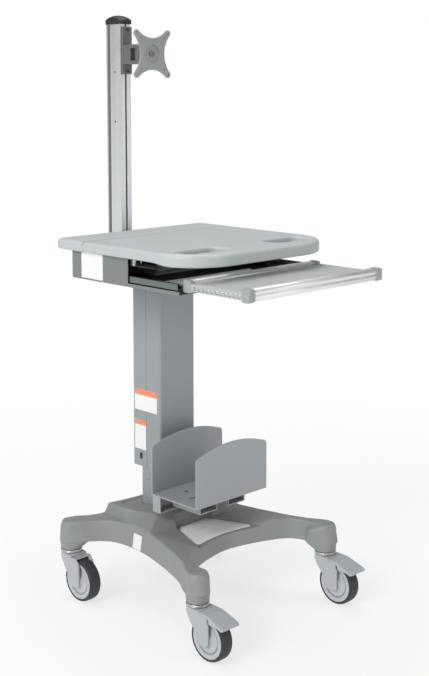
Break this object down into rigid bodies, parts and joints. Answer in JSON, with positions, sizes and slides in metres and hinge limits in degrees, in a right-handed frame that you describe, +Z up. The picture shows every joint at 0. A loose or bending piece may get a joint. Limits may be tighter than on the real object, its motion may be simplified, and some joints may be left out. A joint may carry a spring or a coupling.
{
  "type": "computer workstation cart",
  "caption": "Height-adjustable ward computer cart: X-shaped base on casters, lifting column, worktop with pull-out keyboard tray, mast with tilting monitor plate and a computer cradle.",
  "frame": {"origin": "centre of the bounding box at floor level, with the tray pulled out", "axes": "+Z up, +X to the right and -Y towards the user, seen from the front"},
  "size_m": [0.4826, 0.693, 1.404],
  "materials": {
    "base_grey": "satin grey powder coat on a casting",
    "frame_steel": "black coated steel",
    "label_silver": "blank silver film",
    "zinc": "zinc plated",
    "fork_grey": "moulded, light blue-grey",
    "wheel_grey": "moulded grey",
    "tyre_dark": "charcoal elastomer tread",
    "column_grey": "grey coated extrusion",
    "black_plastic": "matt black",
    "pad_white": "low-friction wear pad",
    "gas_black": "black painted tube",
    "rod_chrome": "hard chromed rod",
    "label_white": "blank adhesive label",
    "sheet_grey": "grey powder-coated sheet steel",
    "liner_black": "black lining",
    "top_grey": "satin light grey moulding",
    "slide_steel": "dark zinc-plated rail",
    "tray_grey": "fine-textured grey",
    "bar_silver": "bright anodised",
    "cap_grey": "light grey moulding",
    "mast_silver": "bright anodised extrusion",
    "mount_grey": "dark grey painted casting",
    "screw_steel": "bright steel"
  },
  "bodies": {
    "base": {"base_shell": "base_grey", "base_frame": "frame_steel", "base_labels": "label_silver", "caster_rings": "zinc", "column_inner": "column_grey", "column_screws": "screw_steel", "inner_glides": "pad_white", "gas_cylinder": "gas_black", "cpu_cradle": "sheet_grey", "cradle_support": "sheet_grey", "cradle_screws": "screw_steel"},
    "lift": {"column_sleeve": "column_grey", "sleeve_plugs": "black_plastic", "sleeve_glides": "pad_white", "sleeve_labels": "label_white", "gas_rod": "rod_chrome", "head_housing": "sheet_grey", "bay_liner": "liner_black", "head_bracket": "mount_grey", "housing_label": "label_white", "worktop_main": "top_grey", "worktop_rear": "top_grey", "slide_outer": "slide_steel", "lever_bracket": "zinc", "mast": "mast_silver", "mast_cap": "black_plastic", "mast_bracket": "mount_grey", "mast_screws": "frame_steel"},
    "retainers": {"slide_retainer": "zinc"},
    "tray": {"tray_pan": "tray_grey", "tray_bar_front": "bar_silver", "tray_bar_rear": "bar_silver", "tray_end_caps": "cap_grey", "slide_inner": "slide_steel"},
    "lever": {"release_lever": "black_plastic"},
    "mount_slide": {"monitor_slider": "mount_grey", "slider_screws": "frame_steel", "mount_yoke": "mount_grey"},
    "knuckle": {"swivel_knuckle": "mount_grey"},
    "tilt": {"tilt_head": "mount_grey", "plate_nut": "screw_steel"},
    "plate": {"vesa_plate": "mount_grey"},
    "fork_front_left": {"caster_fork_front_left": "fork_grey", "caster_axle_front_left": "zinc"},
    "wheel_front_left": {"caster_wheel_front_left": "wheel_grey", "caster_tyre_front_left": "tyre_dark"},
    "pedal_front_left": {"brake_pedal_front_left": "fork_grey"},
    "fork_front_right": {"caster_fork_front_right": "fork_grey", "caster_axle_front_right": "zinc"},
    "wheel_front_right": {"caster_wheel_front_right": "wheel_grey", "caster_tyre_front_right": "tyre_dark"},
    "pedal_front_right": {"brake_pedal_front_right": "fork_grey"},
    "fork_rear_left": {"caster_fork_rear_left": "fork_grey", "caster_axle_rear_left": "zinc"},
    "wheel_rear_left": {"caster_wheel_rear_left": "wheel_grey", "caster_tyre_rear_left": "tyre_dark"},
    "fork_rear_right": {"caster_fork_rear_right": "fork_grey", "caster_axle_rear_right": "zinc"},
    "wheel_rear_right": {"caster_wheel_rear_right": "wheel_grey", "caster_tyre_rear_right": "tyre_dark"}
  },
  "joints": [
    {"name": "column_lift", "type": "slide", "parent": "base", "child": "lift", "axis": [0, 0, 1], "range_m": [-0.05, 0.3]},
    {"name": "tray_slide", "type": "slide", "parent": "lift", "child": "tray", "axis": [0, 1, 0], "range_m": [0, 0.148]},
    {"name": "retainer_slide", "type": "slide", "parent": "lift", "child": "retainers", "axis": [0, 1, 0], "range_m": [0, 0.074]},
    {"name": "release_pull", "type": "hinge", "parent": "lift", "child": "lever", "pos_m": [-0.207, 0.0145, 0.839], "axis": [1, 0, 0], "range_deg": [-6, 0], "stiffness_Nm_per_rad": 0.5, "springref_deg": 5.73},
    {"name": "mount_height", "type": "slide", "parent": "lift", "child": "mount_slide", "axis": [0, 0, 1], "range_m": [-0.3, 0]},
    {"name": "mount_swivel", "type": "hinge", "parent": "mount_slide", "child": "knuckle", "pos_m": [0, 0.2345, 1.308], "axis": [0, 0, 1], "range_deg": [-80, 80]},
    {"name": "mount_tilt", "type": "hinge", "parent": "knuckle", "child": "tilt", "pos_m": [0, 0.2165, 1.308], "axis": [1, 0, 0], "range_deg": [-20, 20]},
    {"name": "mount_rotate", "type": "hinge", "parent": "tilt", "child": "plate", "pos_m": [0, 0.1915, 1.308], "axis": [0, 1, 0], "range_deg": [-90, 90]},
    {"name": "swivel_front_left", "type": "hinge", "parent": "base", "child": "fork_front_left", "pos_m": [-0.2125, -0.1885, 0.112], "axis": [0, 0, 1], "continuous": true},
    {"name": "roll_front_left", "type": "hinge", "parent": "fork_front_left", "child": "wheel_front_left", "pos_m": [-0.2125, -0.2325, 0.05], "axis": [1, 0, 0], "continuous": true},
    {"name": "brake_front_left", "type": "hinge", "parent": "fork_front_left", "child": "pedal_front_left", "pos_m": [-0.2125, -0.2405, 0.107], "axis": [1, 0, 0], "range_deg": [0, 6]},
    {"name": "swivel_front_right", "type": "hinge", "parent": "base", "child": "fork_front_right", "pos_m": [0.2125, -0.1885, 0.112], "axis": [0, 0, 1], "continuous": true},
    {"name": "roll_front_right", "type": "hinge", "parent": "fork_front_right", "child": "wheel_front_right", "pos_m": [0.2125, -0.2325, 0.05], "axis": [1, 0, 0], "continuous": true},
    {"name": "brake_front_right", "type": "hinge", "parent": "fork_front_right", "child": "pedal_front_right", "pos_m": [0.2125, -0.2405, 0.107], "axis": [1, 0, 0], "range_deg": [0, 6]},
    {"name": "swivel_rear_left", "type": "hinge", "parent": "base", "child": "fork_rear_left", "pos_m": [-0.2125, 0.2555, 0.112], "axis": [0, 0, 1], "continuous": true},
    {"name": "roll_rear_left", "type": "hinge", "parent": "fork_rear_left", "child": "wheel_rear_left", "pos_m": [-0.2125, 0.2115, 0.05], "axis": [1, 0, 0], "continuous": true},
    {"name": "swivel_rear_right", "type": "hinge", "parent": "base", "child": "fork_rear_right", "pos_m": [0.2125, 0.2555, 0.112], "axis": [0, 0, 1], "continuous": true},
    {"name": "roll_rear_right", "type": "hinge", "parent": "fork_rear_right", "child": "wheel_rear_right", "pos_m": [0.2125, 0.2115, 0.05], "axis": [1, 0, 0], "continuous": true}
  ],
  "couplings": [
    {"joint": "retainer_slide", "follows": "tray_slide", "ratio": 0.5}
  ]
}
